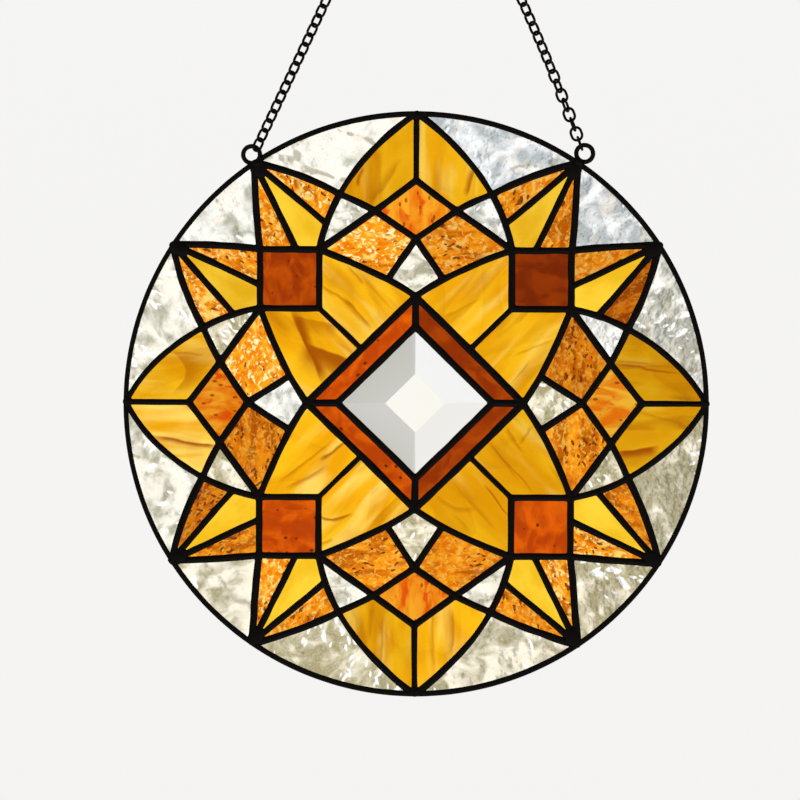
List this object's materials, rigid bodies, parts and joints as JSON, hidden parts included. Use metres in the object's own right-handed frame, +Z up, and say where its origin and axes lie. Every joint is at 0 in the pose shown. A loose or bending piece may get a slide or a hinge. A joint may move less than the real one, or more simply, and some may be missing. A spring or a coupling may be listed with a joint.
{
  "type": "stained glass suncatcher",
  "caption": "Round leaded glass panel with a star and petal pattern in amber, orange and clear glass, hung by chains from one ring.",
  "frame": {"origin": "inside of the top of the hook ring, where a hook or nail carries it", "axes": "+X to the right as seen from the front, +Y away from the viewer through the glass, +Z up; the bevelled front faces -Y"},
  "size_m": [0.3, 0.0078, 0.467],
  "materials": {
    "bevelled_glass": "clear polished bevelled glass",
    "clear_glass": "clear textured water glass",
    "amber_glass": "golden amber streaky glass",
    "orange_glass": "orange hammered glass",
    "rust_glass": "dark orange cathedral glass",
    "black_solder": "solder with a black patina",
    "black_steel": "satin black steel wire"
  },
  "bodies": {
    "root": {"bevel_centre": "bevelled_glass", "petal_upper_right": "amber_glass", "petal_lower_right": "amber_glass", "petal_lower_left": "amber_glass", "petal_upper_left": "amber_glass", "corner_square_upper_right": "rust_glass", "corner_square_lower_right": "rust_glass", "corner_square_lower_left": "rust_glass", "corner_square_upper_left": "rust_glass", "border_strip_upper_right": "rust_glass", "border_strip_lower_right": "rust_glass", "border_strip_lower_left": "rust_glass", "border_strip_upper_left": "rust_glass", "fan_top": "orange_glass", "fan_right": "orange_glass", "fan_bottom": "orange_glass", "fan_left": "orange_glass", "diamond_top": "orange_glass", "diamond_right": "orange_glass", "diamond_bottom": "orange_glass", "diamond_left": "orange_glass", "leaf_top": "amber_glass", "leaf_right": "amber_glass", "leaf_bottom": "amber_glass", "leaf_left": "amber_glass", "star_point_top_right": "orange_glass", "star_point_right_bottom": "orange_glass", "star_point_bottom_left": "orange_glass", "star_point_left_top": "orange_glass", "star_point_top_left": "orange_glass", "star_point_right_top": "orange_glass", "star_point_bottom_right": "orange_glass", "star_point_left_bottom": "orange_glass", "clear_triangle_top_right": "clear_glass", "clear_triangle_right_bottom": "clear_glass", "clear_triangle_bottom_left": "clear_glass", "clear_triangle_left_top": "clear_glass", "clear_triangle_top_left": "clear_glass", "clear_triangle_right_top": "clear_glass", "clear_triangle_bottom_right": "clear_glass", "clear_triangle_left_bottom": "clear_glass", "outer_clear_corner_upper_right": "clear_glass", "outer_clear_corner_lower_right": "clear_glass", "outer_clear_corner_lower_left": "clear_glass", "outer_clear_corner_upper_left": "clear_glass", "outer_clear_top_right": "clear_glass", "outer_clear_right_bottom": "clear_glass", "outer_clear_bottom_left": "clear_glass", "outer_clear_left_top": "clear_glass", "outer_clear_top_left": "clear_glass", "outer_clear_right_top": "clear_glass", "outer_clear_bottom_right": "clear_glass", "outer_clear_left_bottom": "clear_glass", "solder_lattice": "black_solder", "rim": "black_solder", "hanging_loop_left": "black_steel", "hanging_loop_right": "black_steel", "chain_left": "black_steel", "chain_right": "black_steel", "hook_ring": "black_steel"}
  },
  "joints": []
}
